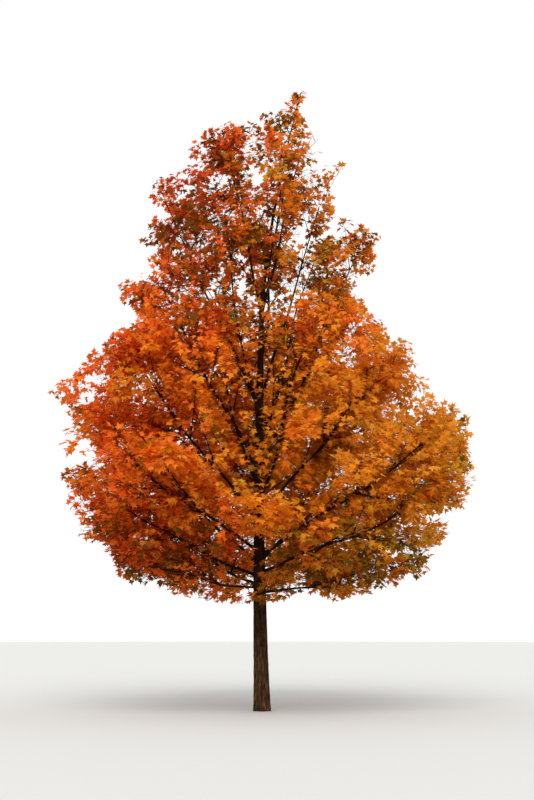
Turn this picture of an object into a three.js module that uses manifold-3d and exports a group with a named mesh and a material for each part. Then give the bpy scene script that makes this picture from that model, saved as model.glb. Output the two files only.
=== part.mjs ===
// A young maple in autumn leaf, about 10.5 m tall: a straight trunk with a flared foot, pairs of boughs that
// fan out from it, and one mass of foliage on the end of each bough and on the leader.
// Millimetres, +Z up. The origin is the middle of the trunk's cut at ground level.
// +X is to the right of somebody who looks along +Y.
import * as THREE from "three";
import { mergeVertices } from "three/addons/utils/BufferGeometryUtils.js";
import Module from "manifold-3d";

const wasm = await Module();
wasm.setup();

// Trunk
const TREE_HEIGHT = 10500;
const TRUNK_TOP = 9100; // where the leader's foliage takes over
const TRUNK_SIDES = 16;
const FOOT_RINGS = [0, 180, 400, 800, 1500, 2200]; // heights, closer together at the flare
const UPPER_RINGS = [3100, 4200, 5400, 6600, 7300, 8000, 8600];
const TAPER_HEIGHT = 10900; // where the trunk's taper would come to a point
const TAPER_POWER = 1.25;
const BUTT_RADIUS = 130; // at the ground, without the flare
const FLARE = 12;
const FLARE_HEIGHT = 350;
const ROOT_LOBES = 5;
const LOBE_DEPTH = 0.8; // of the flare
const LOBE_TURN = 0.9;
const BOW = 50; // the trunk's slow bend to the left, halfway up
const BOW_HEIGHT = 7000;
const LEAN = 680; // how far the leader's tip stands to the right
const LEAN_FROM = 6600;
const SWAY = 40; // the same line seen from the side

// Boughs: pairs, each at right angles to the pair below
const PAIRS = 13;
const LOWEST_BOUGH = 1920;
const PAIR_STEP = 120;
const PAIR_SPREAD = 3200; // how much further apart the upper pairs are
const LOWEST_TIP = 2420;
const TIP_STEP = 600;
const TURN = 28; // degrees that each second pair is turned back or forth
const AZIMUTH_SPREAD = 6; // degrees either way
const PAIR_OFFSET = 70; // the second bough of a pair leaves this much higher
const TIP_SPREAD = 100; // either way in height, on the lowest pair
const BARE_SHARE = 0.27; // of a bough's line, before its foliage
const LOW_SAG = 0.06; // of its reach, on the lowest bough
const HIGH_SAG = 0.03;
const WAVE = 0.022; // of its length
const BOUGH_RADIUS = 3; // plus its length times the next
const RADIUS_PER_LENGTH = 0.0065;
const LIMB_TAPER = 0.8; // of its radius, lost by the end of its stem
const COLLAR = 0.35; // how much thicker a bough is where it joins the trunk
const COLLAR_LENGTH = 90;
const TIP_RADIUS = 10;
const TIP_ROOM = 270; // from a stem's end to the crown's outline, for its last leaves

// The crown's outline from the front: height, left edge and right edge, from the trunk's foot
const OUTLINE = [
  [1700, -350, 600],
  [1950, -1500, 1700],
  [2250, -2450, 2850],
  [2800, -3000, 3250],
  [3400, -3300, 3450],
  [4000, -3450, 3550],
  [4750, -3350, 3500],
  [5100, -3500, 3150],
  [5300, -3100, 3050],
  [5950, -2750, 2700],
  [6300, -2500, 2350],
  [6600, -2350, 1850],
  [6900, -2550, 1500],
  [7100, -2600, 1650],
  [7350, -1850, 1950],
  [7700, -2150, 2150],
  [8050, -2350, 1900],
  [8300, -1750, 1250],
  [8650, -2100, 1200],
  [9050, -1650, 1450],
  [9300, -1400, 850],
  [9550, -1300, 950],
  [9800, -750, 1000],
  [9950, -300, 750],
  [10200, 250, 780],
  [TREE_HEIGHT, 480, 760],
];
const DEPTH_WINDOW = 500; // the crown's depth is its width, averaged over this much either way
const SQUARENESS = 2.5; // of its outline from above: 2 is an ellipse

// Holes right through the crown where the sky shows: middle across, middle up, half width, half height
const SKY_GAPS = [
  [-130, 8500, 100, 130],
  [-730, 8870, 120, 100],
  [690, 7770, 200, 130],
  [640, 6900, 330, 300],
  [-250, 6900, 180, 210],
  [1400, 5900, 220, 150],
];

// Foliage: a stem, shoots on it in pairs, and sprays of leaves along each shoot
const SEED = 20;
const SEED_STEP = 101; // from one mass to the next
const STEM_STEP = 800; // a stem is drawn in straight steps of about this
const CELL_MARGIN = 34; // how much nearer its own stem a leaf is than to any other
const LIMB_CLEAR = 30;
const LENGTH_SPREAD = 0.2; // shoots and sprays are this share longer or shorter
const FIRST_SHOOT = 120;
const SHOOT_STEP = 300; // plus its stem's length times the next
const SHOOT_STEP_PER_LENGTH = 0.13;
const SHOOT_OFFSET = 60; // the second shoot of a pair leaves this much further on
const SHOOT_JITTER = 40;
const SHOOT_ANGLE = 45; // degrees from the stem
const SHOOT_ANGLE_SPREAD = 7;
const SHOOT_ROLL_SPREAD = 0.35;
const SHOOT_RISE = 0.3; // added to the way a shoot points
const SHOOT_BASE = 650; // plus the stem that is left beyond it, times the next
const SHOOT_PER_LENGTH = 0.45;
const LONGEST_SHOOT = 1700;
const UPRIGHT_SHARE = 0.7; // length of the shoots above and below the stem, to those beside it
const SHORTEST_SHOOT = 180;
const MARCH = 65; // a shoot grows by this much at a time
const SHOOT_RADIUS = 16;
const SHOOT_SHARE = 0.6; // of its stem's radius, at most
const SHOOT_TAPER = 0.7;
const SPRAY_STEP = 70; // plus the stem's length times the next
const SPRAY_STEP_PER_LENGTH = 0.07;
const SPRAY_ANGLE = 62;
const SPRAY_ANGLE_SPREAD = 10;
const SPRAY_ROLL_SPREAD = 0.4;
const SPRAY_FLATTEN = 0.6; // of its rise that a spray keeps
const SPRAY_RISE = 0.22; // and what is added to it
const SPRAY_RISE_SPREAD = 0.1;
const SPRAY_TILT = 0.75; // sideways part of the way its upper side faces
const SPRAY_LIFT = 0.6; // and the upward part
const SPRAY_LENGTH = 500; // plus the stem's length times the next
const SPRAY_PER_LENGTH = 0.16;
const SPRAY_WIDTH = 0.85; // of its length
const SPRAY_THICK = 0.02;
const SPRAY_ROOT = 2; // how deep past the shoot's middle it is set
const SPRAY_INSET = 6; // the last spray starts this far before its shoot's end
const END_ANGLE = 0.15;
const SPRAY_ROOM = 8; // sprays of one mass stay this far apart
const SPRAY_SHRINK = 0.78; // a spray that has no room is made this much shorter, twice at most
const SHOWN_SIZES = [1, 0.8, 0.64]; // and again where it would cut another
const ROOT_ROOM = 20; // but not so near their roots

const GAP = 0.3; // between pieces that meet
const UP = new THREE.Vector3(0, 0, 1);
const BARK = new THREE.MeshStandardMaterial({ color: 0x5b4a3a, roughness: 0.95, metalness: 0 });
const COLOUR_REACH = 3200; // the first and last leaf colours lie this far to the left and right
const LEAF_COLOURS = [0xc53819, 0xdd5218, 0xe56718, 0xe27d18, 0xd78d18, 0xce9b24];

// A repeatable stream of numbers from 0 to 1.
function seeded(seed) {
  let state = Math.imul(seed + 1, 0x9e3779b1) >>> 0;
  return () => {
    state = (state + 0x6d2b79f5) >>> 0;
    let mixed = Math.imul(state ^ (state >>> 15), 1 | state) >>> 0;
    mixed = ((mixed + (Math.imul(mixed ^ (mixed >>> 7), 61 | mixed) >>> 0)) ^ mixed) >>> 0;
    return ((mixed ^ (mixed >>> 14)) >>> 0) / 4294967296;
  };
}

// A number from -spread to spread.
const eitherWay = (spread, random) => spread * (2 * random() - 1);
const radians = (degrees) => (degrees * Math.PI) / 180;
const mixOf = (a, b, share) => a + (b - a) * share;

function trunkCentre(z) {
  const bow = -BOW * Math.sin((Math.PI * Math.min(z, BOW_HEIGHT)) / BOW_HEIGHT);
  const lean = LEAN * Math.pow(Math.max(0, (z - LEAN_FROM) / (TREE_HEIGHT - LEAN_FROM)), 1.5);
  return new THREE.Vector3(bow + lean, SWAY * Math.sin((2 * Math.PI * z) / BOW_HEIGHT), z);
}

function trunkRadius(z) {
  return BUTT_RADIUS * Math.pow(1 - z / TAPER_HEIGHT, TAPER_POWER);
}

// The outline's left and right edges at a height.
function edges(z) {
  if (z <= OUTLINE[0][0]) return OUTLINE[0].slice(1);
  for (let i = 1; i < OUTLINE.length; i++) {
    const [low, high] = [OUTLINE[i - 1], OUTLINE[i]];
    if (z <= high[0]) {
      const share = (z - low[0]) / (high[0] - low[0]);
      return [mixOf(low[1], high[1], share), mixOf(low[2], high[2], share)];
    }
  }
  return OUTLINE[OUTLINE.length - 1].slice(1);
}

function halfDepth(z) {
  let sum = 0;
  for (const offset of [-DEPTH_WINDOW, 0, DEPTH_WINDOW]) {
    const [left, right] = edges(z + offset);
    sum += (right - left) / 6;
  }
  return sum;
}

function ovalSize(across, deep) {
  return Math.pow(Math.abs(across) ** SQUARENESS + Math.abs(deep) ** SQUARENESS, 1 / SQUARENESS);
}

// From 0 at the trunk to 1 on the crown's outline.
function outward(p) {
  if (p.z < OUTLINE[0][0] || p.z > TREE_HEIGHT) return 2;
  const [left, right] = edges(p.z);
  const middle = trunkCentre(p.z).x;
  const side = p.x > middle ? right - middle : middle - left;
  return ovalSize((p.x - middle) / side, p.y / halfDepth(p.z));
}

function inSkyGap(p) {
  return SKY_GAPS.some(([x, z, wide, high]) => Math.hypot((p.x - x) / wide, (p.z - z) / high) < 1);
}

// Each bough's two ends and the figures that its line is drawn from.
function boughs() {
  const random = seeded(SEED);
  const made = [];
  for (let pair = 0; pair < PAIRS; pair++) {
    const share = pair / (PAIRS - 1);
    const turned = TURN * [1, -1, 0][Math.floor(pair / 2) % 3];
    for (const half of [0, 1]) {
      const azimuth = radians(90 * pair + turned + 180 * half + eitherWay(AZIMUTH_SPREAD, random));
      const leave = LOWEST_BOUGH + PAIR_STEP * pair + PAIR_SPREAD * share ** 3 + PAIR_OFFSET * half;
      const tipHeight = LOWEST_TIP + TIP_STEP * pair + eitherWay(TIP_SPREAD, random) * (1 - share);
      const middle = trunkCentre(tipHeight);
      const way = new THREE.Vector3(Math.cos(azimuth), Math.sin(azimuth), 0);
      const [left, right] = edges(tipHeight);
      const side = way.x > 0 ? right - middle.x : middle.x - left;
      const reach = 1 / ovalSize(way.x / side, way.y / halfDepth(tipHeight)) - TIP_ROOM;
      const from = trunkCentre(leave);
      const to = new THREE.Vector3(middle.x + way.x * reach, middle.y + way.y * reach, tipHeight);
      const length = from.distanceTo(to);
      made.push({
        from,
        to,
        sag: mixOf(LOW_SAG, HIGH_SAG, share) * reach,
        across: new THREE.Vector3().crossVectors(way, UP).normalize(),
        wave: WAVE * length,
        phase: 2 * Math.PI * random(),
        radius: BOUGH_RADIUS + RADIUS_PER_LENGTH * length,
        length,
      });
    }
  }
  return made;
}

// A point on a bough's line, from 0 in the trunk to 1 at the stem's end.
function boughPoint(b, t) {
  const point = b.from.clone().lerp(b.to, t);
  point.z -= 2 * b.sag * t * (1 - t);
  const swing = b.wave * 4 * t * (1 - t);
  point.addScaledVector(b.across, swing * Math.sin(2 * Math.PI * t + b.phase));
  point.z += 0.6 * swing * Math.sin(3 * Math.PI * t + 2 * b.phase);
  return point;
}

// Which way a bough's line runs at t.
function boughWay(b, t) {
  return boughPoint(b, t + 0.01).sub(boughPoint(b, t - 0.01)).normalize();
}

function boughRadius(b, t) {
  const collar = 1 + COLLAR * Math.exp((-t * b.length) / COLLAR_LENGTH);
  return Math.max(TIP_RADIUS, b.radius * (1 - LIMB_TAPER * t)) * collar;
}

// A closed tube of flat-sided rings through the points, with no corner level with its middle. Its end faces
// stand square to the first and last chord, or to the ways given for them.
function tube(points, radii, sides, startWay, endWay) {
  const turn = Math.PI / 2 + (sides % 2 ? 0 : Math.PI / sides);
  const positions = [];
  const index = [];
  const tangent = new THREE.Vector3();
  const acrossFrom = (way) => (Math.abs(way.z) > 0.9 ? new THREE.Vector3(1, 0, 0) : UP);
  const normal = new THREE.Vector3();
  points.forEach((point, i) => {
    const before = points[Math.max(i - 1, 0)];
    const after = points[Math.min(i + 1, points.length - 1)];
    tangent.subVectors(after, before).normalize();
    if (i === 0 && startWay) tangent.copy(startWay);
    if (i === points.length - 1 && endWay) tangent.copy(endWay);
    if (i === 0) normal.crossVectors(tangent, acrossFrom(tangent));
    normal.addScaledVector(tangent, -normal.dot(tangent)).normalize();
    const binormal = new THREE.Vector3().crossVectors(tangent, normal);
    for (let s = 0; s < sides; s++) {
      const angle = turn + (2 * Math.PI * s) / sides;
      const corner = point.clone().addScaledVector(normal, radii[i] * Math.cos(angle));
      corner.addScaledVector(binormal, radii[i] * Math.sin(angle));
      positions.push(...corner.toArray());
    }
  });
  joinRings(index, points.length, sides);
  return geometryOf(positions, index);
}

// Faces between rings of corners, and a flat fan over each end.
function joinRings(index, rings, sides) {
  for (let r = 0; r + 1 < rings; r++) {
    for (let s = 0; s < sides; s++) {
      const [a, b] = [r * sides + s, r * sides + ((s + 1) % sides)];
      index.push(a, b, b + sides, a, b + sides, a + sides);
    }
  }
  const last = (rings - 1) * sides;
  for (let s = 1; s + 1 < sides; s++) {
    index.push(0, s + 1, s, last, last + s, last + s + 1);
  }
}

function geometryOf(positions, index) {
  const geometry = new THREE.BufferGeometry();
  geometry.setAttribute("position", new THREE.Float32BufferAttribute(positions, 3));
  geometry.setIndex(index);
  return geometry;
}

function solidOf(geometry) {
  const merged = mergeVertices(geometry, 1e-3);
  return new wasm.Manifold(
    new wasm.Mesh({
      numProp: 3,
      vertProperties: new Float32Array(merged.attributes.position.array),
      triVerts: new Uint32Array(merged.index.array),
    }),
  );
}

// The largest closed piece of a solid, with no sealed hollow and no loose scrap.
function largestOf(solid) {
  const pieces = solid.decompose();
  const whole = pieces.reduce((best, piece) => (piece.volume() > best.volume() ? piece : best));
  const { numProp, vertProperties, triVerts } = whole.getMesh();
  const positions = [];
  for (let i = 0; i < vertProperties.length; i += numProp) {
    positions.push(...vertProperties.slice(i, i + 3));
  }
  return geometryOf(positions, Array.from(triVerts));
}

// The trunk, from its flat cut to the leader, with a lobed flare at the foot. grown adds to its radius.
function trunkGeometry(grown) {
  const heights = [...FOOT_RINGS, ...UPPER_RINGS, TRUNK_TOP];
  const positions = [];
  const index = [];
  for (const z of heights) {
    const middle = trunkCentre(z);
    for (let s = 0; s < TRUNK_SIDES; s++) {
      const angle = (2 * Math.PI * s) / TRUNK_SIDES;
      const lobe = 1 + LOBE_DEPTH * Math.cos(ROOT_LOBES * angle + LOBE_TURN);
      const radius = trunkRadius(z) + FLARE * lobe * Math.exp(-z / FLARE_HEIGHT) + grown;
      positions.push(middle.x + radius * Math.cos(angle), middle.y + radius * Math.sin(angle), z);
    }
  }
  joinRings(index, heights.length, TRUNK_SIDES);
  return geometryOf(positions, index);
}

function pointsAlong(pointAt, from, to, count) {
  return Array.from({ length: count + 1 }, (_, i) => pointAt(mixOf(from, to, i / count)));
}

function distanceToLine(p, line) {
  let least = Infinity;
  for (let i = 0; i + 1 < line.length; i++) {
    const [a, b] = [line[i], line[i + 1]];
    const [dx, dy, dz] = [b.x - a.x, b.y - a.y, b.z - a.z];
    const [ex, ey, ez] = [p.x - a.x, p.y - a.y, p.z - a.z];
    const along = (ex * dx + ey * dy + ez * dz) / (dx * dx + dy * dy + dz * dz);
    const t = Math.min(1, Math.max(0, along));
    least = Math.min(least, Math.hypot(ex - t * dx, ey - t * dy, ez - t * dz));
  }
  return least;
}

// Every limb as a line with a radius, and every mass's stem.
function skeleton() {
  const all = boughs();
  const limbs = [];
  const stems = [];
  const trunkLine = pointsAlong(trunkCentre, 0, TRUNK_TOP, 24);
  trunkLine.slice(1).forEach((end, i) => {
    limbs.push({ line: [trunkLine[i], end], radius: trunkRadius(trunkLine[i].z) });
  });
  for (const b of all) {
    limbs.push({ line: pointsAlong((t) => boughPoint(b, t), 0, BARE_SHARE, 4), radius: b.radius });
    const parts = Math.max(2, Math.round(b.length / STEM_STEP));
    stems.push({ line: pointsAlong((t) => boughPoint(b, t), BARE_SHARE, 1, parts), bough: b });
  }
  stems.push({ line: pointsAlong(trunkCentre, TRUNK_TOP, TREE_HEIGHT - 120, 3), bough: null });
  return { all, limbs, stems };
}

// Whether mass number own may grow a leaf or twig at p.
function inSpace(p, own, tree) {
  if (outward(p) > 1 || inSkyGap(p)) return false;
  const mine = distanceToLine(p, tree.stems[own].line);
  for (let i = 0; i < tree.stems.length; i++) {
    if (i !== own && distanceToLine(p, tree.stems[i].line) < mine + CELL_MARGIN) return false;
  }
  return tree.limbs.every((limb) => distanceToLine(p, limb.line) > limb.radius + LIMB_CLEAR);
}

// The direction at an angle from along, turned by roll about it from level.
function branchWay(along, angle, roll) {
  const level = new THREE.Vector3().crossVectors(along, UP).normalize();
  const rise = new THREE.Vector3().crossVectors(level, along);
  return along
    .clone()
    .multiplyScalar(Math.cos(angle))
    .addScaledVector(level, Math.sin(angle) * Math.cos(roll))
    .addScaledVector(rise, Math.sin(angle) * Math.sin(roll))
    .normalize();
}

// A straight shoot, grown a step at a time until it is long enough or would leave its mass's space.
function growShoot(start, way, length, own, tree) {
  let grown = 0;
  while (grown + MARCH <= length) {
    if (!inSpace(start.clone().addScaledVector(way, grown + MARCH), own, tree)) break;
    grown += MARCH;
  }
  return [start.clone(), start.clone().addScaledVector(way, grown)];
}

function pointOnLine(line, distance) {
  let left = distance;
  for (let i = 0; i + 1 < line.length; i++) {
    const step = line[i].distanceTo(line[i + 1]);
    if (left <= step || i + 2 === line.length) {
      const along = new THREE.Vector3().subVectors(line[i + 1], line[i]).normalize();
      return { point: line[i].clone().addScaledVector(along, Math.min(left, step)), along };
    }
    left -= step;
  }
  return null;
}

function lineLength(line) {
  let sum = 0;
  for (let i = 0; i + 1 < line.length; i++) sum += line[i].distanceTo(line[i + 1]);
  return sum;
}

// Whether the line from a to b passes through a spray's blade, or within room of it.
function pierces(a, b, spray, room) {
  const [da, db] = [a, b].map((p) => new THREE.Vector3().subVectors(p, spray.point).dot(spray.face));
  if (da * db > 0 || da === db) return false;
  const hit = a.clone().lerp(b, da / (da - db)).sub(spray.point);
  const half = spray.length / 2;
  const along = Math.abs(hit.dot(spray.way) - half) / (half + room);
  const across = Math.abs(hit.dot(spray.across)) / (half * SPRAY_WIDTH + room);
  return along + across < 1;
}

// Whether a spray's whole blade lies in its mass's space, with no limb through it.
function hasRoom(spray, own, tree) {
  const half = (spray.length * SPRAY_WIDTH) / 2;
  const at = (share) => spray.point.clone().addScaledVector(spray.way, share * spray.length);
  const sides = [half, -half].map((side) => at(0.5).addScaledVector(spray.across, side));
  if (![at(1), at(0.5), ...sides, at(0.2)].every((corner) => inSpace(corner, own, tree))) return false;
  return tree.limbs.every(({ line, radius }) =>
    line.slice(1).every((end, i) => !pierces(line[i], end, spray, radius + LIMB_CLEAR)),
  );
}

// A spray of leaves: where it starts, which way it points, its length and which way its upper side faces. It is
// made smaller, twice at most, where it would leave its mass's space.
function makeSpray(point, way, wanted, own, tree, random) {
  way.z = SPRAY_FLATTEN * way.z + SPRAY_RISE + eitherWay(SPRAY_RISE_SPREAD, random);
  way.normalize();
  const face = new THREE.Vector3(eitherWay(SPRAY_TILT, random), eitherWay(SPRAY_TILT, random), SPRAY_LIFT);
  face.addScaledVector(way, -face.dot(way)).normalize();
  const across = new THREE.Vector3().crossVectors(face, way);
  const length = wanted * (1 + eitherWay(LENGTH_SPREAD, random));
  for (const size of [1, SPRAY_SHRINK, SPRAY_SHRINK ** 2]) {
    const spray = { point, way, across, face, length: size * length };
    if (hasRoom(spray, own, tree)) return spray;
  }
  return null;
}

// Shoots in pairs along a mass's stem, each pair at right angles to the last.
function growShoots(own, tree, random) {
  const stem = tree.stems[own].line;
  const whole = lineLength(stem);
  const shoots = [];
  let pair = 0;
  for (let at = FIRST_SHOOT; at < whole; at += SHOOT_STEP + SHOOT_STEP_PER_LENGTH * whole, pair++) {
    const upright = pair % 2;
    for (const half of [0, 1]) {
      const { point, along } = pointOnLine(stem, at + SHOOT_OFFSET * half + SHOOT_JITTER * random());
      const roll = Math.PI * half + upright * (Math.PI / 2) + eitherWay(SHOOT_ROLL_SPREAD, random);
      const way = branchWay(along, radians(SHOOT_ANGLE + eitherWay(SHOOT_ANGLE_SPREAD, random)), roll);
      way.z += SHOOT_RISE;
      const wanted = Math.min(LONGEST_SHOOT, SHOOT_BASE + SHOOT_PER_LENGTH * (whole - at));
      const length = wanted * (1 + eitherWay(LENGTH_SPREAD, random)) * (upright ? UPRIGHT_SHARE : 1);
      const line = growShoot(point, way.normalize(), length, own, tree);
      const radius = Math.min(SHOOT_RADIUS, SHOOT_SHARE * stemRadius(own, at / whole, tree));
      if (lineLength(line) >= SHORTEST_SHOOT) shoots.push({ line, radius });
    }
  }
  return shoots;
}

// Sprays from side to side along each line, and one at its end.
function growSprays(lines, whole, own, tree, random) {
  const step = SPRAY_STEP + SPRAY_STEP_PER_LENGTH * whole;
  const wanted = SPRAY_LENGTH + SPRAY_PER_LENGTH * whole;
  const sprays = [];
  for (const line of lines) {
    const reach = lineLength(line);
    let number = Math.floor(2 * random());
    for (let at = step; at <= reach; at += step, number++) {
      const { point, along } = pointOnLine(line, at);
      const roll = Math.PI * (number % 2) + eitherWay(SPRAY_ROLL_SPREAD, random);
      const angle = radians(SPRAY_ANGLE + eitherWay(SPRAY_ANGLE_SPREAD, random));
      sprays.push(makeSpray(point, branchWay(along, angle, roll), wanted, own, tree, random));
    }
    const { point, along } = pointOnLine(line, reach - SPRAY_INSET);
    sprays.push(makeSpray(point, branchWay(along, END_ANGLE * random(), 0), wanted, own, tree, random));
  }
  return sprays.filter((spray) => spray !== null);
}

// Mass number own: its shoots and their sprays.
function growMass(own, tree) {
  const random = seeded(SEED + SEED_STEP * (own + 1));
  const stem = tree.stems[own].line;
  const shoots = growShoots(own, tree, random);
  const lines = [...shoots.map((shoot) => shoot.line), stem];
  return { shoots, sprays: growSprays(lines, lineLength(stem), own, tree, random) };
}

// A flat pointed solid with its root set in the shoot.
function sprayGeometry(spray) {
  const at = (along, across, up) =>
    spray.point
      .clone()
      .addScaledVector(spray.way, along)
      .addScaledVector(spray.across, across)
      .addScaledVector(spray.face, up)
      .toArray();
  const half = (spray.length * SPRAY_WIDTH) / 2;
  const [root, left, tip, right, ridge] = [0, 1, 2, 3, 4];
  const middle = 0.5 * spray.length;
  const corners = [
    at(-SPRAY_ROOT, 0, 0),
    at(middle, half, 0),
    at(spray.length, 0, 0),
    at(middle, -half, 0),
    at(0.9 * middle, 0, SPRAY_THICK * spray.length),
  ];
  const top = [root, ridge, left, left, ridge, tip, tip, ridge, right, right, ridge, root];
  return geometryOf(corners.flat(), [...top, root, left, right, left, tip, right]);
}

// The radius of mass number own's stem, from 0 at its start to 1 at its end.
function stemRadius(own, share, tree) {
  const { bough } = tree.stems[own];
  if (!bough) return mixOf(trunkRadius(TRUNK_TOP), TIP_RADIUS, share);
  return boughRadius(bough, mixOf(BARE_SHARE, 1, share));
}

function shootGeometry({ line, radius }) {
  return tube(line, [radius, SHOOT_TAPER * radius], 3);
}

// A stem starts square to the end of its bough, or to the trunk's, just clear of it.
function stemGeometry(own, tree) {
  const { line, bough } = tree.stems[own];
  const way = bough ? boughWay(bough, BARE_SHARE) : UP;
  const points = [line[0].clone().addScaledVector(way, GAP), ...line.slice(1)];
  const radii = points.map((_, i) => stemRadius(own, i / (points.length - 1), tree));
  return tube(points, radii, 4, way);
}

function cross(one, other) {
  if (one.point.distanceTo(other.point) > one.length + other.length) return false;
  const cuts = ({ point, way, across, length }, spray) => {
    const at = (u, v) => point.clone().addScaledVector(way, u).addScaledVector(across, v);
    const half = (length * SPRAY_WIDTH) / 2;
    const corners = [at(ROOT_ROOM, 0), at(0.5 * length, half), at(length, 0), at(0.5 * length, -half)];
    return corners.some((corner, i) => pierces(corner, corners[(i + 1) % 4], spray, SPRAY_ROOM));
  };
  return cuts(one, other) || cuts(other, one);
}

// The sprays that the solid shows. Each is made smaller, or left out, where it would cut a twig of its mass or
// a spray shown before it.
function sparse(sprays, lines) {
  const shown = [];
  for (const whole of sprays) {
    for (const size of SHOWN_SIZES) {
      const spray = { ...whole, length: size * whole.length };
      const cutBy = (line) => line.slice(1).some((end, i) => pierces(line[i], end, spray, -ROOT_ROOM));
      if (lines.some(cutBy) || shown.some((other) => cross(spray, other))) continue;
      shown.push(spray);
      break;
    }
  }
  return shown;
}

function massGeometry(own, tree) {
  const { shoots, sprays } = growMass(own, tree);
  const shown = sparse(sprays, [tree.stems[own].line, ...shoots.map((shoot) => shoot.line)]);
  const pieces = [
    solidOf(stemGeometry(own, tree)),
    ...shoots.map((shoot) => solidOf(shootGeometry(shoot))),
    ...shown.map((spray) => solidOf(sprayGeometry(spray))),
  ];
  return largestOf(wasm.Manifold.union(pieces));
}

function boughGeometry(b, trunkRoom) {
  const shares = [0, 0.025, 0.06, 0.13, BARE_SHARE];
  const points = shares.map((t) => boughPoint(b, t));
  const radii = shares.map((t) => boughRadius(b, t));
  const limb = solidOf(tube(points, radii, 6, null, boughWay(b, BARE_SHARE)));
  return largestOf(limb.subtract(trunkRoom));
}

function meshOf(name, geometry, material) {
  const mesh = new THREE.Mesh(geometry, material);
  mesh.name = name;
  return mesh;
}

function leafMaterial(stem) {
  const across = (stem[stem.length - 1].x + COLOUR_REACH) / (2 * COLOUR_REACH);
  const last = LEAF_COLOURS.length - 1;
  const number = Math.min(last, Math.max(0, Math.floor(across * LEAF_COLOURS.length)));
  return new THREE.MeshStandardMaterial({ color: LEAF_COLOURS[number], roughness: 0.7, metalness: 0 });
}

const twoDigits = (number) => String(number).padStart(2, "0");

const tree = skeleton();
const maple = new THREE.Group();
maple.add(meshOf("trunk", trunkGeometry(0), BARK));
const trunkRoom = solidOf(trunkGeometry(GAP + 0.05));
tree.all.forEach((b, i) => {
  maple.add(meshOf("bough_" + twoDigits(i + 1), boughGeometry(b, trunkRoom), BARK));
  maple.add(meshOf("foliage_" + twoDigits(i + 1), massGeometry(i, tree), leafMaterial(tree.stems[i].line)));
});
const leader = tree.stems.length - 1;
maple.add(meshOf("foliage_top", massGeometry(leader, tree), leafMaterial(tree.stems[leader].line)));

export default maple;
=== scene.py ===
# The looks of a young maple in autumn leaf: bark with its relief on the trunk and boughs, twigs, and single
# leaves in thirty plain tints, which are six hues, each in five copies with painted light and painted shade.
# The rule that grows the solids' boughs, shoots and sprays is written again here, with the same values in
# metres, and carried on to twigs and leaves.
import math

import bpy
import numpy as np
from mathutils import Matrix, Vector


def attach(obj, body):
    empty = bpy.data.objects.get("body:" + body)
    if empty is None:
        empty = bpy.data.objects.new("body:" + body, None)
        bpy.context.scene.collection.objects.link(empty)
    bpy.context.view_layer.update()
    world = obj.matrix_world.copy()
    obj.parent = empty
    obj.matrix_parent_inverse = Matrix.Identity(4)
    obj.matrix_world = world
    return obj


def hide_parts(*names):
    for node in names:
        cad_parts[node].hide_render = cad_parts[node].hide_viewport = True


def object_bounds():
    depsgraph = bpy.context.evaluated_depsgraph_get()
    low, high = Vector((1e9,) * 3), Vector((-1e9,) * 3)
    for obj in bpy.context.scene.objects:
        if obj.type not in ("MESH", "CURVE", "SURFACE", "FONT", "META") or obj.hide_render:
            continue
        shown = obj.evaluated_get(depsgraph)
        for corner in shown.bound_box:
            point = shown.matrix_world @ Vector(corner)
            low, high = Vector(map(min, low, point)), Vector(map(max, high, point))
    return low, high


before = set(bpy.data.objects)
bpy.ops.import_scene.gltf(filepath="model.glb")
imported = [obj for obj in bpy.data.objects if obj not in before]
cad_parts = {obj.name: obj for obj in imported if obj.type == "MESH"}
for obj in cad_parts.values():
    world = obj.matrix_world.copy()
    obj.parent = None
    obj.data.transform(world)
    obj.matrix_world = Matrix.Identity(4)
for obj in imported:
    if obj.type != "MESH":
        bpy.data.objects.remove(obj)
SOLID_BOX = [list(corner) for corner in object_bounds()]
LOWEST, HIGHEST = SOLID_BOX

# The values of the source, in metres
TREE_HEIGHT = 10.5
TRUNK_TOP = 9.1
TRUNK_PARTS = 24
TAPER_HEIGHT = 10.9
TAPER_POWER = 1.25
BUTT_RADIUS = 0.13
FLARE = 0.012
FLARE_HEIGHT = 0.35
ROOT_LOBES = 5
LOBE_DEPTH = 0.8
LOBE_TURN = 0.9
BOW = 0.05
BOW_HEIGHT = 7.0
LEAN = 0.68
LEAN_FROM = 6.6
LEAN_POWER = 1.5
SWAY = 0.04
PAIRS = 13
LOWEST_BOUGH = 1.92
PAIR_STEP = 0.12
PAIR_SPREAD = 3.2
LOWEST_TIP = 2.42
TIP_STEP = 0.6
TURN = 28
AZIMUTH_SPREAD = 6
PAIR_OFFSET = 0.07
TIP_SPREAD = 0.1
BARE_SHARE = 0.27
BARE_PARTS = 4
LOW_SAG = 0.06
HIGH_SAG = 0.03
WAVE = 0.022
WAVE_RISE = 0.6
BOUGH_RADIUS = 0.003
RADIUS_PER_LENGTH = 0.0065
LIMB_TAPER = 0.8
COLLAR = 0.35
COLLAR_LENGTH = 0.09
TIP_RADIUS = 0.01
TIP_ROOM = 0.27
OUTLINE = np.array((
    (1.7, -0.35, 0.6), (1.95, -1.5, 1.7), (2.25, -2.45, 2.85), (2.8, -3.0, 3.25), (3.4, -3.3, 3.45),
    (4.0, -3.45, 3.55), (4.75, -3.35, 3.5), (5.1, -3.5, 3.15), (5.3, -3.1, 3.05), (5.95, -2.75, 2.7),
    (6.3, -2.5, 2.35), (6.6, -2.35, 1.85), (6.9, -2.55, 1.5), (7.1, -2.6, 1.65), (7.35, -1.85, 1.95),
    (7.7, -2.15, 2.15), (8.05, -2.35, 1.9), (8.3, -1.75, 1.25), (8.65, -2.1, 1.2), (9.05, -1.65, 1.45),
    (9.3, -1.4, 0.85), (9.55, -1.3, 0.95), (9.8, -0.75, 1.0), (9.95, -0.3, 0.75), (10.2, 0.25, 0.78),
    (TREE_HEIGHT, 0.48, 0.76),
))
DEPTH_WINDOW = 0.5
SQUARENESS = 2.5
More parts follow.
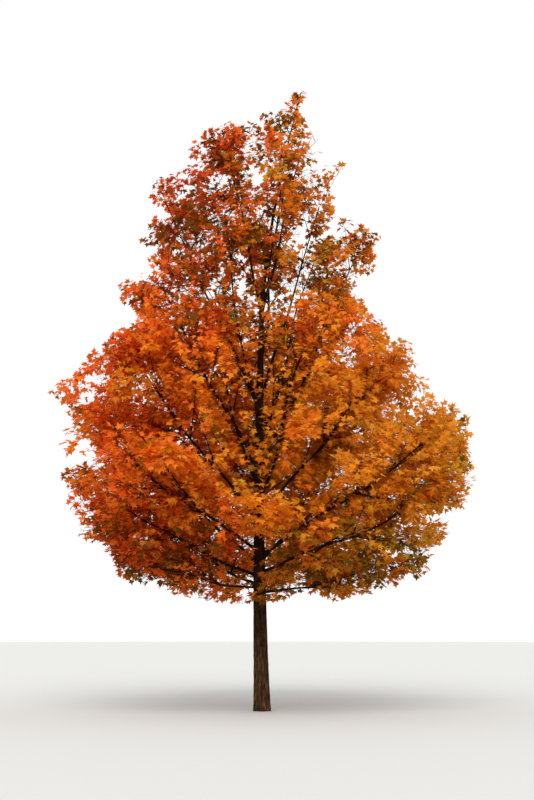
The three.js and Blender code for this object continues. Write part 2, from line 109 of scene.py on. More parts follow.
SKY_GAPS = (
    (-0.13, 8.50, 0.10, 0.13), (-0.73, 8.87, 0.12, 0.10), (0.69, 7.77, 0.20, 0.13),
    (0.64, 6.90, 0.33, 0.30), (-0.25, 6.90, 0.18, 0.21), (1.40, 5.90, 0.22, 0.15),
)
SEED = 20
SEED_STEP = 101
STEM_STEP = 0.8
LEADER_PARTS = 3
LEADER_INSET = 0.12
CELL_MARGIN = 0.034
LIMB_CLEAR = 0.03
LENGTH_SPREAD = 0.2
FIRST_SHOOT = 0.12
SHOOT_STEP = 0.3
SHOOT_STEP_PER_LENGTH = 0.13
SHOOT_OFFSET = 0.06
SHOOT_JITTER = 0.04
SHOOT_ANGLE = 45
SHOOT_ANGLE_SPREAD = 7
SHOOT_ROLL_SPREAD = 0.35
SHOOT_RISE = 0.3
SHOOT_BASE = 0.65
SHOOT_PER_LENGTH = 0.45
LONGEST_SHOOT = 1.7
UPRIGHT_SHARE = 0.7
SHORTEST_SHOOT = 0.18
MARCH = 0.065
SHOOT_RADIUS = 0.016
SHOOT_SHARE = 0.6
SPRAY_STEP = 0.07
SPRAY_STEP_PER_LENGTH = 0.07
SPRAY_ANGLE = 62
SPRAY_ANGLE_SPREAD = 10
SPRAY_ROLL_SPREAD = 0.4
SPRAY_FLATTEN = 0.6
SPRAY_RISE = 0.22
SPRAY_RISE_SPREAD = 0.1
SPRAY_TILT = 0.75
SPRAY_LIFT = 0.6
SPRAY_LENGTH = 0.5
SPRAY_PER_LENGTH = 0.16
SPRAY_WIDTH = 0.85
SPRAY_FOOT = 0.2
SPRAY_SHRINK = 0.78
SPRAY_INSET = 0.006
END_ANGLE = 0.15

# Finer growth: small sprays between the source's, and sprays that fill the crown out
INFILL_SEED = 700
INFILL_STEP = 0.22
INFILL_LENGTH = 0.34
INFILL_ROOT = 0.08  # of it may touch the bough that it starts from
LEAFY_MASSES = 6  # the lowest, whose boughs have small sprays all the way
LEAFY_FROM = 0.06  # of a bough's length
LIMB_FROM = 0.08  # the same for sprays that fill out
LIMB_PARTS = 8
FILL_SEED = 900
FILL_FROM = 0.45  # of the way out to the outline
FILL_BELOW = 3.3  # and right in to the trunk up to this height
FILL_BEHIND = 0.5  # or behind this, up to the next
FILL_BEHIND_BELOW = 6.0
FILL_CLEAR = 0.1  # of every limb
FILL_FOOT = 0.1  # of a shoot's length
FILL_REACH = (0.05, 1.0)
FILL_PAST = 0.15  # how far a spray goes on past its place
PROBES = 9000  # places tried
PROBE_ROOM = 0.29  # a place this far from every spray is empty
MARKS = ((0.55, 0), (0.55, 0.25), (0.55, -0.25), (0.25, 0), (0.85, 0))  # along a spray and across it
SHOOT_BEND = 0.045  # of its length
BEND_LEAST = 0.3  # of that
SHOOT_TIP = 0.3  # of its radius
SHOOT_THICKER = 1.3  # than the source's
LEADER_TOP = 10.2
TIP_SPRAY = 0.26
TIP_TURN = 0.4
TIP_LEAN = 0.35
TIP_FAN = 0.3

# The leaves' outline, with its tufts and notches, and how far in it falls here and there
RAGGED = 0.2
RAGGED_CELL = 0.6
RAGGED_SEED = 33
RAGGED_GAIN = 3.0
RAGGED_DROP = 1.4
RAGGED_HEIGHTS = (8, 6)  # from the first up it falls only RAGGED_HIGH as far
RAGGED_HIGH = 0.3
LATTICE = 32  # of the noise
LEAF_OUTLINE = np.array((
    (1.7, -0.5, 0.9), (1.85, -1.35, 1.6), (2.0, -2.0, 2.35), (2.25, -2.5, 2.85), (2.6, -2.8, 2.95),
    (2.8, -3.0, 3.2), (3.1, -3.05, 3.3), (3.4, -3.3, 3.4), (3.7, -3.3, 3.55), (4.0, -3.45, 3.55),
    (4.3, -3.3, 3.45), (4.6, -3.3, 3.5), (4.8, -3.1, 3.3), (5.0, -3.4, 3.2), (5.15, -3.55, 3.05),
    (5.3, -3.15, 3.05), (5.5, -3.0, 2.95), (5.65, -2.95, 2.7), (5.85, -2.75, 2.75), (6.05, -2.6, 2.55),
    (6.2, -2.45, 2.2), (6.4, -2.45, 2.2), (6.6, -2.35, 1.8), (6.8, -2.45, 1.45), (7.0, -2.62, 1.5),
    (7.15, -2.45, 1.75), (7.28, -1.8, 1.9), (7.45, -1.75, 1.95), (7.6, -1.95, 1.88), (7.7, -2.2, 2.12),
    (7.85, -1.95, 1.8), (8.0, -2.32, 1.88), (8.12, -2.15, 1.45), (8.25, -1.65, 1.22), (8.45, -1.75, 1.2),
    (8.62, -2.05, 1.2), (8.8, -1.85, 1.15), (8.9, -1.48, 1.2), (9.02, -1.62, 1.42), (9.12, -1.45, 1.4),
    (9.22, -1.42, 0.8), (9.35, -1.32, 0.74), (9.5, -1.22, 0.86), (9.62, -1.25, 0.95), (9.72, -0.9, 1.0),
    (9.82, -0.72, 0.95), (9.9, -0.45, 0.7), (9.98, 0.1, 0.64), (10.1, 0.3, 0.64), (10.3, 0.38, 0.68),
    (10.42, 0.42, 0.8), (TREE_HEIGHT, 0.5, 0.72),
))
SLIMMEST = 0.7  # the crown's half depth is at most this share of its width
OVERHANG = 1.04  # of the outline, for a leaf's tip

# Clusters in the upper crown, with sky between, and layers in the lower. Pairs are where they come in
AIRY_HEIGHTS = (5.6, 6.8)
AIRY_TOP = (10.3, 9.7)
AIRY_SHARE = 0.49  # of the noise's range that is left open
AIRY_RIM = (0.75, 1)
RIM_FILLED = 0.4
AIRY_CELL = 0.3
AIRY_SEED = 47
LAYER_HEIGHTS = (6.2, 5.4)
LAYER_FOOT = (1.9, 2.7)
LAYER_LEAST = 0.2
LAYER_SHARE = 0.31
LAYER_CELL = 0.8
LAYER_FLATNESS = 0.3
LAYER_SEED = 57

# Boughs and parts of the trunk that show from the front, with few leaves before them
LANE_HALF = 0.08
LANE_KEEP = 0.1
LANE_FROM = 0.04  # of a bough's length
LANE_TO = 0.72
LANE_HEIGHTS = ((2.35, 2.75), (3.35, 3.8), (4.7, 6.0))  # of the trunk
LANES_FADE = (5.6, 6.8)  # heights between which they fade out
LANE_FRONT = -0.55  # boughs that come further forward don't show
LANE_SHOOT = 0.9  # side shoots longer than this show too
SHOOT_LANE_HALF = 0.06
SHOOT_LANE_TO = 0.7

# The cluster in front of the trunk, whose brightness is painted light
CLUSTER = (0.12, 3.08, 0.5, 0.3)  # middle across, middle up, half width, half height
CLUSTER_FRONT = -0.55
CLUSTER_ACROSS = (-0.8, -0.3, 0.2, 0.7)  # of its half width, for its sprays
CLUSTER_UP = (-0.7, 0, 0.7)
CLUSTER_ROOM = 0.05

# Twigs in pairs along a spray's axis, flat and upright by turns
AXIS_RADIUS = 0.0042
AXIS_REACH = 0.9  # of its spray's length
AXIS_HANG = 0.05
NODES_TO = 0.88
NODES_SHARE = 0.85  # of a spray's length has a pair of twigs at each step
NODE_FIRST = 0.8  # of the way to the next node, for the first one
NODE_PAST = 0.6
TWIG_RADIUS = 0.0022
TWIG_STEP = 0.085
TWIG_REACH = 0.38  # of its spray's length
TWIG_SHORTENS = 0.75  # by the spray's end
UPRIGHT_TWIG = 0.2
TWIG_SPREAD = (0.75, 1.15)
TWIG_FORWARD = 0.65
TWIG_ASIDE = 0.8
TWIG_UP = 0.15
TWIG_STRAY = 0.12

# Leaves along the twigs. HANG, OUTWARD, TILT and GROWTH are low in the crown and high
LEAF_SEED = 4
LEAF_STEP = 0.07
LEAF_FORWARD = (0.5, 0.9)  # along a twig, and at its end
LEAF_ASIDE = 0.9
END_LEAF_ASIDE = 0.8
LEAF_HEIGHTS = (4, 7)
LEAF_SIZE = 0.082
LEAF_GROWTH = (1.22, 1.14)
LEAF_SPREAD = 0.22
LEAF_HANG = (0.12, 0.7)
HANG_SPREAD = (0.05, 1)
LEAF_ALONG = (0.6, 1.0)
LEAF_STRAY = 0.2
LEAF_OUTWARD = (0.15, 0.3)
LEAF_TILT = (0.22, 0.4)
STALK = 0.04
STALK_SPREAD = (0.6, 1.4)
STALK_STRAY = 0.25
STALK_WIDTH = 0.003
LEAF_HALF = ((0.40, -0.06), (0.27, 0.17), (0.58, 0.46), (0.20, 0.52))  # across and along, from its base
LEAF_FOLD = 0.14
LEAF_CURL = 0.12

# Bark relief
BARK_SEED = 1
TRUNK_SIDES = 120
FINE_HEIGHT = 3.2
RING_STEPS = (0.016, 0.05)  # below that height and above it
TRUNK_FURROWS = (26, 0.16)  # how many go round, and how long they are
FURROW_DEPTH = 0.0055
FURROW_MIDDLE = 0.3
PLAIN_FOOT = 0.02
FURROW_SWING = 1.4
FURROW_SHARE = 1.6
CRACK_SHARE = 0.4
BOUGH_SIDES = 14
BOUGH_TRIALS = 40  # places where it is tried whether leaves still go with it
BOUGH_RINGS = 24  # at least
BOUGH_STEP = 0.05
BOUGH_FROM = 0.02
BOUGH_FURROWS = (7, 0.12)
BOUGH_RELIEF = 0.06  # of its radius
SHOOT_SIDES = 5
SHOOT_RINGS = 7
SHOOT_TRIALS = 13
TWIG_SIDES = 3

# Bark colours: in the furrows, between, and on the plates
BARK_LOW = ((0.36, (0.014, 0.006, 0.002)), (0.5, (0.060, 0.029, 0.011)), (0.66, (0.14, 0.080, 0.042)))
BARK_HIGH = ((0.36, (0.006, 0.003, 0.001)), (0.5, (0.022, 0.010, 0.004)), (0.66, (0.056, 0.029, 0.013)))
BARK_HEIGHTS = (0.3, 2.4)  # from the low colours to the high ones
BARK_PATCHES = ((0.36, (0.45, 0.42, 0.38)), (0.64, (1, 1, 1)))
BARK_MOTTLING = 0.8
BARK_STRETCH = 0.16  # of its scale, up the limb
TWIG_COLOURS = ((0.3, (0.010, 0.005, 0.002)), (0.7, (0.030, 0.016, 0.007)))

# Leaf colours from the crown's left to its right, each mixed with every one of five colours of painted light
# and painted shade
HUES = (
    ("leaf_crimson", (0.56, 0.040, 0.010)),
    ("leaf_scarlet", (0.72, 0.085, 0.009)),
    ("leaf_vermilion", (0.78, 0.135, 0.009)),
    ("leaf_orange", (0.76, 0.205, 0.009)),
    ("leaf_amber", (0.68, 0.265, 0.009)),
    ("leaf_gold", (0.62, 0.330, 0.018)),
)
# Olive, the colour of leaves that have not turned, mixed in also as painted shade on the darkest leaves
OLIVE_AND_PAINTED_SHADE = (0.10, 0.062, 0.005)
# Pale pink-orange painted light, as on leaves lit from above
PAINTED_LIGHT_PINK = (0.98, 0.27, 0.04)
# A painted highlight, as on sunlit leaves
PAINTED_HIGHLIGHT = (1.0, 0.36, 0.02)
# Each hue in five copies: with a painted highlight, with painted light, nearly plain, darker olive with
# painted shade, and in deep painted shade
PAINTED_LIGHT_AND_SHADE = ((PAINTED_HIGHLIGHT, 0.55), (PAINTED_LIGHT_PINK, 0.4), (PAINTED_LIGHT_PINK, 0.05), (OLIVE_AND_PAINTED_SHADE, 0.35), (OLIVE_AND_PAINTED_SHADE, 0.86))

# A leaf's warmth picks its hue, from 0 for crimson to 1 for gold, and its depth picks how much painted light
# and painted shade it gets: the most painted light below -0.4, the most painted shade above 0.36. Each row of
# shifts is how much is added, and the heights and places across between which it comes in
ALL = (-9, -8)  # everywhere
HIGH_LEAVES = (5.6, 7.1)
WARMTH = 0.485
WARMER_RIGHT = 0.055  # for each metre
WARMTH_SHIFTS = (
    (0.08, ALL, (-1, 0)),
    (0.07, (5.4, 4.2), (-0.5, 0.5)),
    (-0.06, (3.6, 2.6), (0, -1)),
    (-0.08, (6.6, 7.6), ALL),
    (-0.06, (6.6, 7.6), (0.3, -0.7)),
)
WARMTH_STRAYS = (0.13, 0.07)  # of a spray and of a leaf
# Painted shade on the lowest leaves and on the high ones; painted light on the leaves below the high ones,
# more on the right
PAINTED_SHADE_SHIFTS = (
    (0.36, (3.7, 2.2), ALL),
    (0.09, HIGH_LEAVES, ALL),
    (-0.06, (7.1, 5.6), ALL),
    (-0.12, (7.1, 5.6), (0, 2)),
)
PAINTED_SHADE_INSIDE = (-0.15, 0.35)  # at the trunk: painted light below the high leaves, and painted shade among them
# Painted light on the bright cluster in front of the trunk
CLUSTER_PAINTED_LIGHT = -0.45
# How much a spray's and a leaf's painted light and shade differ at random
PAINTED_SHADE_STRAYS = (0.2, 0.18)
PAINTED_SHADE_STEPS = (-0.4, -0.06, 0.2, 0.36)  # between one step of painted light and shade and the next
BAND = (4.6, 1.5)  # the height of a band of leaves painted lighter and warmer, and how far it spreads
BAND_WARMTH = (0.11, 0.19)  # at its left and right
BAND_PLACES = (-1.2, -0.2)
# Painted light in that band
BAND_PAINTED_LIGHT = -0.09

COLOUR_A, COLOUR_B, MIXED = 6, 7, 2  # a Mix node's sockets for colours

UP = np.array((0.0, 0.0, 1.0))

# The photograph's view and the light, with angles in degrees
EYE = np.array((0.083, -26.0, 1.6))
TILT = 7.69
PICTURE_HEIGHT = 800
FOCAL_PIXELS = 1569
SENSOR = 24.0
CLIP_END = 300
SUN_STRENGTH = 2.4
SUN_WIDTH = 40
SUN_TURN = (48, -2, 0)
FLOOR_RADIUS = 60
FLOOR_SIDES = 180
FLOOR_COLOUR = (0.55, 0.55, 0.53, 1)


def seeded(seed):
    """The source's repeatable stream of numbers from 0 to 1."""
    state = (seed + 1) * 0x9E3779B1 & 0xFFFFFFFF

    def draw():
        nonlocal state
        state = (state + 0x6D2B79F5) & 0xFFFFFFFF
        mixed = (state ^ (state >> 15)) * (1 | state) & 0xFFFFFFFF
        mixed = (mixed + ((mixed ^ (mixed >> 7)) * (61 | mixed) & 0xFFFFFFFF)) ^ mixed
        mixed &= 0xFFFFFFFF
        return (mixed ^ (mixed >> 14)) / 4294967296

    return draw


def either_way(spread, random):
    return spread * (2 * random() - 1)


def mix(a, b, share):
    return a + (b - a) * share


def fade(value, start, end):
    """From 0 at start to 1 at end, and no further."""
    return np.clip((value - start) / (end - start), 0, 1)


def unit(v):
    return v / np.linalg.norm(v, axis=-1, keepdims=True)


def trunk_centre(z):
    z = np.asarray(z, float)
    x = -BOW * np.sin(math.pi * np.minimum(z, BOW_HEIGHT) / BOW_HEIGHT)
    x = x + LEAN * np.maximum(0, (z - LEAN_FROM) / (TREE_HEIGHT - LEAN_FROM)) ** LEAN_POWER
    return np.stack((x, SWAY * np.sin(math.tau * z / BOW_HEIGHT), z), axis=-1)


def trunk_radius(z):
    return BUTT_RADIUS * (1 - np.minimum(z, TAPER_HEIGHT) / TAPER_HEIGHT) ** TAPER_POWER


def edges(z, outline=OUTLINE):
    """The outline's left and right edges at a height."""
    return np.interp(z, outline[:, 0], outline[:, 1]), np.interp(z, outline[:, 0], outline[:, 2])


def half_depth(z):
    """Half the mean of three widths: at a height, below it and above it."""
    total = 0.0
    for offset in (-DEPTH_WINDOW, 0, DEPTH_WINDOW):
        left, right = edges(z + offset)
        total = total + (right - left) / 6
    return total


def oval_size(across, deep):
    return (np.abs(across) ** SQUARENESS + np.abs(deep) ** SQUARENESS) ** (1 / SQUARENESS)


def outward(points, outline=OUTLINE):
    """From 0 at the trunk to 1 on the crown's outline."""
    x, y, z = points.T
    left, right = edges(z, outline)
    middle = trunk_centre(z)[:, 0]
    side = np.where(x > middle, right - middle, middle - left)
    deep = np.minimum(half_depth(z), SLIMMEST * (right - left))
    size = oval_size((x - middle) / side, y / deep)
    return np.where((z < OUTLINE[0, 0]) | (z > TREE_HEIGHT), 2.0, size)


def in_oval(points, x, z, wide, high):
    """Whether each point lies in an ellipse as seen from the front."""
    return np.hypot((points[:, 0] - x) / wide, (points[:, 2] - z) / high) < 1


def in_sky_gap(points):
    return np.any([in_oval(points, *gap) for gap in SKY_GAPS], axis=0)


def grow_boughs():
    """Each bough's two ends and the figures that its line is drawn from."""
    random = seeded(SEED)
    made = []
    for pair in range(PAIRS):
        share = pair / (PAIRS - 1)
        turned = TURN * (1, -1, 0)[pair // 2 % 3]
        for half in (0, 1):
            azimuth = math.radians(90 * pair + turned + 180 * half + either_way(AZIMUTH_SPREAD, random))
            leave = LOWEST_BOUGH + PAIR_STEP * pair + PAIR_SPREAD * share**3 + PAIR_OFFSET * half
            tip_height = LOWEST_TIP + TIP_STEP * pair + either_way(TIP_SPREAD, random) * (1 - share)
            middle = trunk_centre(tip_height)
            way = np.array((math.cos(azimuth), math.sin(azimuth), 0.0))
            left, right = edges(tip_height)
            side = right - middle[0] if way[0] > 0 else middle[0] - left
            reach = 1 / oval_size(way[0] / side, way[1] / half_depth(tip_height)) - TIP_ROOM
            start = trunk_centre(leave)
            end = np.array((middle[0] + way[0] * reach, middle[1] + way[1] * reach, tip_height))
            length = math.dist(start, end)
            made.append({
                "from": start,
                "to": end,
                "sag": mix(LOW_SAG, HIGH_SAG, share) * reach,
                "across": unit(np.cross(way, UP)),
                "wave": WAVE * length,
                "phase": math.tau * random(),
                "radius": BOUGH_RADIUS + RADIUS_PER_LENGTH * length,
                "length": length,
            })
    return made


def bough_point(bough, t):
    """A point on a bough's line, from 0 in the trunk to 1 at the stem's end."""
    point = mix(bough["from"], bough["to"], t)
    swing = bough["wave"] * 4 * t * (1 - t)
    point = point + bough["across"] * swing * math.sin(math.tau * t + bough["phase"])
    rise = WAVE_RISE * swing * math.sin(3 * math.pi * t + 2 * bough["phase"])
    point[2] += rise - 2 * bough["sag"] * t * (1 - t)
    return point


def bough_radius(bough, t):
    collar = 1 + COLLAR * math.exp(-t * bough["length"] / COLLAR_LENGTH)
    return max(TIP_RADIUS, bough["radius"] * (1 - LIMB_TAPER * t)) * collar


def points_along(point_at, start, end, count):
    return np.array([point_at(mix(start, end, i / count)) for i in range(count + 1)])


def bough_points(bough, start, end, count):
    return points_along(lambda t: bough_point(bough, t), start, end, count)


class Tree:
    """Every limb as short straight parts with a radius, and every mass's stem."""

    def __init__(self):
        self.boughs = grow_boughs()
        self.starts, self.ways, self.radii = [], [], []
        trunk = points_along(trunk_centre, 0, TRUNK_TOP, TRUNK_PARTS)
        for a, b in zip(trunk, trunk[1:]):
            self.add([a, b], trunk_radius(a[2]))
        for bough in self.boughs:
            self.add(bough_points(bough, 0, BARE_SHARE, BARE_PARTS), bough["radius"])
        self.limb_count = len(self.starts)
        self.stems = [self.stem_of(bough) for bough in self.boughs]
        self.stems.append(points_along(trunk_centre, TRUNK_TOP, TREE_HEIGHT - LEADER_INSET, LEADER_PARTS))
        self.first = []
        for line in self.stems:
            self.first.append(len(self.starts) - self.limb_count)
            self.add(line, 0)
        self.starts, self.ways, self.radii = (np.array(rows) for rows in (self.starts, self.ways, self.radii))

    def add(self, line, radius):
        for a, b in zip(line, line[1:]):
            self.starts.append(a)
            self.ways.append(b - a)
            self.radii.append(radius)

    def stem_of(self, bough):
        parts = max(2, math.floor(bough["length"] / STEM_STEP + 0.5))
        return bough_points(bough, BARE_SHARE, 1, parts)

    def limb_of(self, own):
        """A mass's whole bough from just outside the trunk, or the leader."""
        if own == len(self.boughs):
            return self.stems[own]
        return bough_points(self.boughs[own], LIMB_FROM, 1, LIMB_PARTS)

    def distances(self, points, low, high):
        rel = points[:, None, :] - self.starts[None, low:high]
        way = self.ways[low:high]
        t = np.clip((rel * way).sum(2) / (way * way).sum(1), 0, 1)
        return np.linalg.norm(rel - t[:, :, None] * way, axis=2)

    def stem_distances(self, points):
        """How far each point is from each mass's stem."""
        near = self.distances(points, self.limb_count, len(self.starts))
        return np.minimum.reduceat(near, self.first, axis=1)

    def limb_room(self, points):
        """How far each point is from the nearest trunk or bough's surface."""
        return (self.distances(points, 0, self.limb_count) - self.radii[: self.limb_count]).min(1)

    def in_space(self, points, own):
        """Whether mass number own may grow at each point."""
        good = (outward(points) <= 1) & ~in_sky_gap(points)
        if not good.any():
            return good
        near = self.stem_distances(points)
        mine = near[:, own].copy()
        near[:, own] = np.inf
        good &= near.min(1) >= mine + CELL_MARGIN
        return good & (self.limb_room(points) > LIMB_CLEAR)

    def pierced(self, spray, root_room=0.0):
        """Whether a limb cuts the spray's blade or passes close, further off than root_room from its foot."""
        a = self.starts[: self.limb_count] - spray["point"]
        way = self.ways[: self.limb_count]
        from_face = a @ spray["face"]
        to_face = (a + way) @ spray["face"]
        both = (from_face * to_face <= 0) & (from_face != to_face)
        hit = a + way * (from_face / np.where(both, from_face - to_face, 1))[:, None]
        half = spray["length"] / 2
        room = self.radii[: self.limb_count] + LIMB_CLEAR
        along = np.abs(hit @ spray["way"] - half) / (half + room)
        across = np.abs(hit @ spray["across"]) / (half * SPRAY_WIDTH + room)
        beyond = np.linalg.norm(hit, axis=1) > root_room
        return bool((both & beyond & (along + across < 1)).any())


def branch_way(along, angle, roll):
    """The direction at an angle from along, turned by roll about it from level."""
    level = unit(np.cross(along, UP))
    rise = np.cross(level, along)
    side = level * math.cos(roll) + rise * math.sin(roll)
    return unit(along * math.cos(angle) + side * math.sin(angle))


def line_length(line):
    return float(np.linalg.norm(np.diff(line, axis=0), axis=1).sum())


def point_on_line(line, distance):
    left = distance
    for i in range(len(line) - 1):
        step = math.dist(line[i], line[i + 1])
        if left <= step or i + 2 == len(line):
            along = unit(line[i + 1] - line[i])
            return line[i] + along * min(left, step), along
        left -= step


def grow_shoot(start, way, length, own, tree):
    """A straight shoot, grown a step at a time until it is long enough or would leave its mass's space."""
    steps = int(length / MARCH + 1e-9)
    if steps < 1:
        return np.array((start, start))
    reached = tree.in_space(start + way * MARCH * np.arange(1, steps + 1)[:, None], own)
    grown = steps if reached.all() else int(np.argmin(reached))
    return np.array((start, start + way * MARCH * grown))


def side_way(along, turn, random):
    """Which way a spray leaves its shoot, turned about this much round it."""
    roll = turn + either_way(SPRAY_ROLL_SPREAD, random)
    return branch_way(along, math.radians(SPRAY_ANGLE + either_way(SPRAY_ANGLE_SPREAD, random)), roll)


def tilted_face(way, random):
    face = np.array((either_way(SPRAY_TILT, random), either_way(SPRAY_TILT, random), SPRAY_LIFT))
    return unit(face - way * (face @ way))


def spray_of(point, way, face, length):
    """A spray: where it starts, which way it points, which way its upper side faces, and its length."""
    return {"point": point, "way": way, "across": np.cross(face, way), "face": face, "length": length}


def make_spray(point, way, wanted, own, tree, random, root_room=0.0):
    """A spray as long as there is room for, or none."""
    way[2] = SPRAY_FLATTEN * way[2] + SPRAY_RISE + either_way(SPRAY_RISE_SPREAD, random)
    way = unit(way)
    face = tilted_face(way, random)
    whole = wanted * (1 + either_way(LENGTH_SPREAD, random))
    for length in (whole, whole * SPRAY_SHRINK, whole * SPRAY_SHRINK**2):
        spray = spray_of(point, way, face, length)
        aside = spray["across"] * (length * SPRAY_WIDTH / 2)
        tip, middle, inner = (point + way * share * length for share in (1, 0.5, SPRAY_FOOT))
        corners = np.array((tip, middle, middle + aside, middle - aside, inner))
        if tree.in_space(corners, own).all() and not tree.pierced(spray, root_room):
            return spray
    return None


def stem_radius(own, share, tree):
    if own < len(tree.boughs):
        return bough_radius(tree.boughs[own], mix(BARE_SHARE, 1, share))
    return mix(trunk_radius(TRUNK_TOP), TIP_RADIUS, share)


def grow_shoots(own, tree, random):
    """Shoots in pairs along a mass's stem, each pair at right angles to the last."""
    stem = tree.stems[own]
    whole = line_length(stem)
    shoots = []
    at, pair = FIRST_SHOOT, 0
    while at < whole:
        upright = pair % 2
        for half in (0, 1):
            point, along = point_on_line(stem, at + SHOOT_OFFSET * half + SHOOT_JITTER * random())
            roll = math.pi * half + upright * math.pi / 2 + either_way(SHOOT_ROLL_SPREAD, random)
            way = branch_way(along, math.radians(SHOOT_ANGLE + either_way(SHOOT_ANGLE_SPREAD, random)), roll)
            way[2] += SHOOT_RISE
            wanted = min(LONGEST_SHOOT, SHOOT_BASE + SHOOT_PER_LENGTH * (whole - at))
            length = wanted * (1 + either_way(LENGTH_SPREAD, random)) * (UPRIGHT_SHARE if upright else 1)
            line = grow_shoot(point, unit(way), length, own, tree)
            radius = min(SHOOT_RADIUS, SHOOT_SHARE * stem_radius(own, at / whole, tree))
            if line_length(line) >= SHORTEST_SHOOT:
                shoots.append((line, radius))
        at += SHOOT_STEP + SHOOT_STEP_PER_LENGTH * whole
        pair += 1
    return shoots


def feet_along(line, at, step, number, turn, random):
    """Places for sprays along a line from a distance on, the ways that they point, and their shares of it."""
    reach = line_length(line)
    while at <= reach:
        point, along = point_on_line(line, at)
        yield point, side_way(along, turn * number, random), at / reach
        at += step
        number += 1


def grow_sprays(lines, whole, own, tree, random):
    """Sprays from side to side along each line and one at its end, with the line's number and their place."""
    step = SPRAY_STEP + SPRAY_STEP_PER_LENGTH * whole
    wanted = SPRAY_LENGTH + SPRAY_PER_LENGTH * whole
    rows = []
    for number, line in enumerate(lines):
        for point, way, share in feet_along(line, step, step, int(2 * random()), math.pi, random):
            rows.append((make_spray(point, way, wanted, own, tree, random), number, share))
        point, along = point_on_line(line, line_length(line) - SPRAY_INSET)
        way = branch_way(along, END_ANGLE * random(), 0)
        rows.append((make_spray(point, way, wanted, own, tree, random), number, 1.0))
    return rows


def grow_infill(lines, own, tree, random):
    """Small sprays all round each line, between the source's."""
    rows = []
    for number, line in enumerate(lines):
        start = INFILL_STEP * random()
        for point, way, share in feet_along(line, start, INFILL_STEP, 0, math.pi / 2, random):
            spray = make_spray(point, way, INFILL_LENGTH, own, tree, random, INFILL_ROOT)
            rows.append((spray, number, share))
    return rows


def grow_mass(own, tree):
    """Mass number own: its shoots, bent a little, and its sprays, set on the bent shoots."""
    random = seeded(SEED + SEED_STEP * (own + 1))
    shoots = grow_shoots(own, tree, random)
    lines = [line for line, _ in shoots] + [tree.stems[own]]
    rows = grow_sprays(lines, line_length(tree.stems[own]), own, tree, random)
    finer = seeded(INFILL_SEED + own)
    rows += grow_infill(lines, own, tree, finer)
    if own < LEAFY_MASSES:
        limb = bough_points(tree.boughs[own], LEAFY_FROM, BARE_SHARE, BARE_PARTS)
        rows += [(spray, -1, 1.0) for spray, _, _ in grow_infill([limb], own, tree, finer)]
    rows = [row for row in rows if row[0]]
    bends = [bend_of(line, finer) for line, _ in shoots] + [np.zeros(3)]
    for spray, line_number, share in rows:
        spray["point"] = spray["point"] + bends[line_number] * 4 * share * (1 - share)
    bent = [(line, bend, radius) for (line, radius), bend in zip(shoots, bends)]
    sprays = [spray for spray, _, _ in rows]
    if own == len(tree.boughs):
        sprays += tip_sprays()
    return bent, sprays


def tip_sprays():
    """The last sprays, which carry the leader on to the top."""
    sprays = []
    for turn in (0, 1, 2):
        angle = math.tau * turn / 3 + TIP_TURN
        way = unit(np.array((TIP_LEAN + TIP_FAN * math.cos(angle), TIP_FAN * math.sin(angle), 1.0)))
        face = unit(np.cross(way, np.array((-math.sin(angle), math.cos(angle), 0.0))))
        sprays.append(spray_of(trunk_centre(LEADER_TOP), way, face, TIP_SPRAY))
    return sprays


def smooth(share):
    return share**2 * (3 - 2 * share)


def lumps(points, cell, seed):
    """Smooth noise from 0 to 1 through space."""
    lattice = np.random.default_rng(seed).random((LATTICE, LATTICE, LATTICE))
    place = (points - LOWEST) / cell + 2
    whole = np.floor(place).astype(int)
    x, y, z = smooth(place - whole).T
    i, j, k = (whole % (LATTICE - 1)).T
    rows = [[mix(lattice[i, n, m], lattice[i + 1, n, m], x) for n in (j, j + 1)] for m in (k, k + 1)]
    return mix(mix(*rows[0], y), mix(*rows[1], y), z)


def in_ragged_outline(points):
    """Whether the points lie in the crown once its outline is broken up."""
    fall = RAGGED * np.clip(RAGGED_GAIN * lumps(points, RAGGED_CELL, RAGGED_SEED) - RAGGED_DROP, 0, 1)
    fall = fall * np.maximum(RAGGED_HIGH, fade(points[:, 2], *RAGGED_HEIGHTS))
    return outward(points, LEAF_OUTLINE) < 1 - fall


def in_open_place(points):
    """Whether the points lie between the clusters of the upper crown or the layers of the lower."""
    z = points[:, 2]
    share = AIRY_SHARE * fade(z, *AIRY_HEIGHTS) * fade(z, *AIRY_TOP)
    share = share * (1 - RIM_FILLED * fade(outward(points), *AIRY_RIM))
    layer = LAYER_SHARE * fade(z, *LAYER_HEIGHTS) * np.maximum(LAYER_LEAST, fade(z, *LAYER_FOOT))
    in_layer = lumps(points / (1, 1, LAYER_FLATNESS), LAYER_CELL, LAYER_SEED) < layer
    return in_layer | (lumps(points, AIRY_CELL, AIRY_SEED) < share)


def leafy_share(line):
    """How much of a line lies in the broken outline, from its foot."""
    inside = in_ragged_outline(line)
    return 1.0 if inside.all() else max(1, np.argmin(inside)) / (len(line) - 1)


def as_seen(points):
    """Where the points appear from the camera, in metres in the trunk's plane, and how far off they are."""
    offset = points - EYE
    away = offset[:, 1]
    return offset[:, (0, 2)] * (-EYE[1] / away)[:, None], away


def before_limb(points, line, half):
    """Whether each point stands before a limb's line as seen from the front."""
    seen, away = as_seen(points)
    limb, limb_away = as_seen(line)
    found = np.zeros(len(points), bool)
    for a, b, deep in zip(limb, limb[1:], limb_away):
        way = b - a
        t = np.clip((seen - a) @ way / (way @ way), 0, 1)
        near = np.linalg.norm(seen - a - t[:, None] * way, axis=1) < half
        found |= near & (away < deep)
    return found


